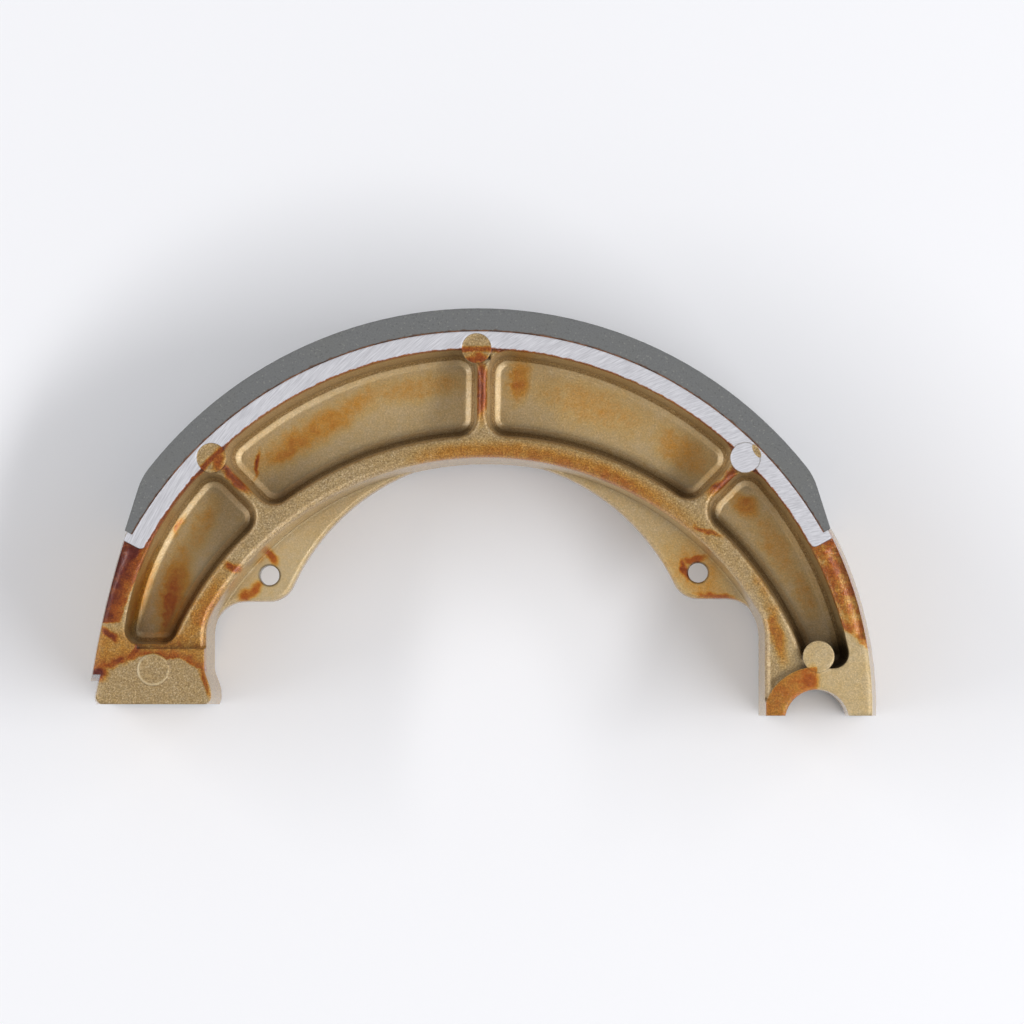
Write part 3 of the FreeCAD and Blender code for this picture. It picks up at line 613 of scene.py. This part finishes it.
    def bare_metal(self, fine, broad, pad_line):
        return self.layered(
            self.mix(self.ramp(fine, 0.30, 0.70), SCRATCH_DARK, SCRATCH_LIGHT),
            (self.ramp(broad, 0.50, 0.75), 0.25, SCRATCH_BROAD),
            (pad_line, 0.55, PAD_LINE),
        )

    def soft_edges(self):
        """The normal with its edges rounded, more so on the flanks."""
        flank = self.times(
            self.ramp(self.radius, 69.0, FLANK_ROLL - 0.1),
            self.fall(self.y, TABLE_END - 4.0, TABLE_END),
        )
        return self.rounded(self.ramp(flank, 0.0, 1.0, CAST_EDGE * MM, FLANK_EDGE * MM))

    def cast_relief(self, normal):
        """Cast grain, with the varnish rolled over the outer edge of the flanks."""
        relief = self.sum(
            self.grain,
            self.times(self.noise(*CAST_LUMPS), 1.1),
            self.times(self.flake, 0.2),
        )
        grainy = self.bump(relief, 0.08, normal, strength=0.8)
        beside_ends = self.band(self.y, 17.0, TABLE_END, 1.0)
        past = self.times(self.excess(self.radius, FLANK_ROLL), beside_ends, self.level_part)
        return self.bump(self.times(past, past, -0.20), 1.0, grainy)

    def build(self):
        """The finished material."""
        milled, pad_line = self.milled_parts()
        fine, broad = self.scratches()
        depth = self.depth()
        colour = self.mix(milled, self.varnish(depth), self.bare_metal(fine, broad, pad_line))
        soft_edges = self.soft_edges()
        grainy = self.cast_relief(soft_edges)
        cut = self.bump(fine, 0.02, soft_edges, strength=0.4)
        wet = self.times(self.ramp(depth, 0.25, 0.65), self.invert(milled))
        return self.finish(
            Base_Color=colour,
            Metallic=self.mix_value(milled, 0.60, 0.30),
            Roughness=self.mix_value(milled, self.ramp(self.grain, 0.2, 0.8, 0.40, 0.50), 0.36),
            Specular_IOR_Level=0.25,
            Coat_Weight=self.mix_value(milled, self.ramp(wet, 0.0, 1.0, 1.0, 0.8), 0.0),
            Coat_Roughness=self.ramp(wet, 0.0, 1.0, 0.20, 0.12),
            Coat_IOR=1.5,
            Normal=self.mix_vector(milled, grainy, cut),
            Coat_Normal=grainy,
        )


def lining_material():
    """Ground friction material: dull grey with fine dark and pale grains."""
    n = Nodes("friction_material")
    grain = n.noise(*LINING_GRAIN)
    speck = n.speck(LINING_SPECK_SIZE)
    torn_radius = n.sum(n.spread_from(SHOE_CENTRE), n.times(n.noise(*LINING_EDGE), -0.9))
    colour = n.layered(
        n.mix(n.ramp(grain, 0.3, 0.7), LINING_DARK, LINING_LIGHT),
        (n.ramp(n.noise(*LINING_CLOUDS), 0.4, 0.7), 0.25, LINING_WARM),
        (n.ramp(speck, 0.96, 0.99), 0.25, LINING_PALE_SPECK),
        (n.fall(speck, 0.03, 0.08), 0.35, LINING_DARK_SPECK),
        (n.fall(torn_radius, LINING_SEAT - 0.3, LINING_SEAT), 0.7, LINING_FOOT),
    )
    height = n.sum(grain, n.times(speck, 0.3))
    return n.finish(
        Base_Color=colour,
        Roughness=n.ramp(grain, 0.2, 0.8, 0.72, 0.88),
        Specular_IOR_Level=0.3,
        Normal=n.bump(height, 0.05, n.rounded(LINING_ROUNDING * MM), strength=0.6),
    )


def adhesive_material():
    """Dark brown adhesive, uneven along its line."""
    n = Nodes("adhesive")
    patch = n.noise(*GLUE_PATCHES)
    return n.finish(
        Base_Color=n.mix(n.ramp(patch, 0.35, 0.65), GLUE_DARK, GLUE_LIGHT),
        Roughness=n.ramp(patch, 0.3, 0.7, 0.35, 0.6),
        Normal=n.bump(patch, 0.08),
    )


def dress(node, material):
    """Give every slot of a CAD node the same material."""
    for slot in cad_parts[node].material_slots:
        slot.material = material


def add_floor():
    bpy.ops.mesh.primitive_plane_add(size=FLOOR_SIZE, location=(0.0, 0.0, 0.0))
    floor = bpy.context.object
    floor.name = "floor"
    n = Nodes("floor")
    floor.data.materials.append(n.finish(Base_Color=FLOOR, Roughness=0.9))


def add_lamp(name, place, width, height, power):
    data = bpy.data.lights.new(name, "AREA")
    data.shape = "RECTANGLE"
    data.size, data.size_y = width, height
    data.energy = power
    lamp = bpy.data.objects.new(name, data)
    lamp.location = place
    towards = Vector(LAMP_AIM) - Vector(place)
    lamp.rotation_euler = towards.to_track_quat("-Z", "Y").to_euler()
    bpy.context.scene.collection.objects.link(lamp)


def add_world():
    """Bright walls all round and a dimmer ceiling."""
    world = bpy.data.worlds.new("studio")
    world.use_nodes = True
    nodes, links = world.node_tree.nodes, world.node_tree.links
    direction = nodes.new("ShaderNodeSeparateXYZ")
    links.new(nodes.new("ShaderNodeTexCoord").outputs["Generated"], direction.inputs[0])
    level = nodes.new("ShaderNodeMapRange")
    level.interpolation_type = "SMOOTHSTEP"
    for name, value in (
        ("From Min", CEILING_START),
        ("From Max", CEILING_FULL),
        ("To Min", WALL_LEVEL),
        ("To Max", CEILING_LEVEL),
    ):
        level.inputs[name].default_value = value
    links.new(direction.outputs["Z"], level.inputs["Value"])
    background = nodes["Background"]
    background.inputs["Color"].default_value = SKY
    links.new(level.outputs[0], background.inputs["Strength"])
    bpy.context.scene.world = world


def add_camera():
    """The camera, with the frame's y axis up in its picture."""
    data = bpy.data.cameras.new("camera")
    data.sensor_width = SENSOR_WIDTH
    data.lens = FOCAL_LENGTH
    data.clip_end = VIEW_RANGE
    camera = bpy.data.objects.new("camera", data)
    camera.location = CAMERA_PLACE
    forward = (Vector(CAMERA_AIM) - Vector(CAMERA_PLACE)).normalized()
    right = forward.cross(Vector((0.0, 1.0, 0.0))).normalized()
    up = right.cross(forward)
    camera.rotation_euler = Matrix((right, up, -forward)).transposed().to_euler()
    bpy.context.scene.collection.objects.link(camera)
    bpy.context.scene.camera = camera


dress("shoe_casting", Casting().build())
dress("friction_lining", lining_material())
dress("bond_layer", adhesive_material())
add_floor()
for lamp in LAMPS:
    add_lamp(*lamp)
add_world()
add_camera()
bpy.context.scene.view_settings.view_transform = "Standard"
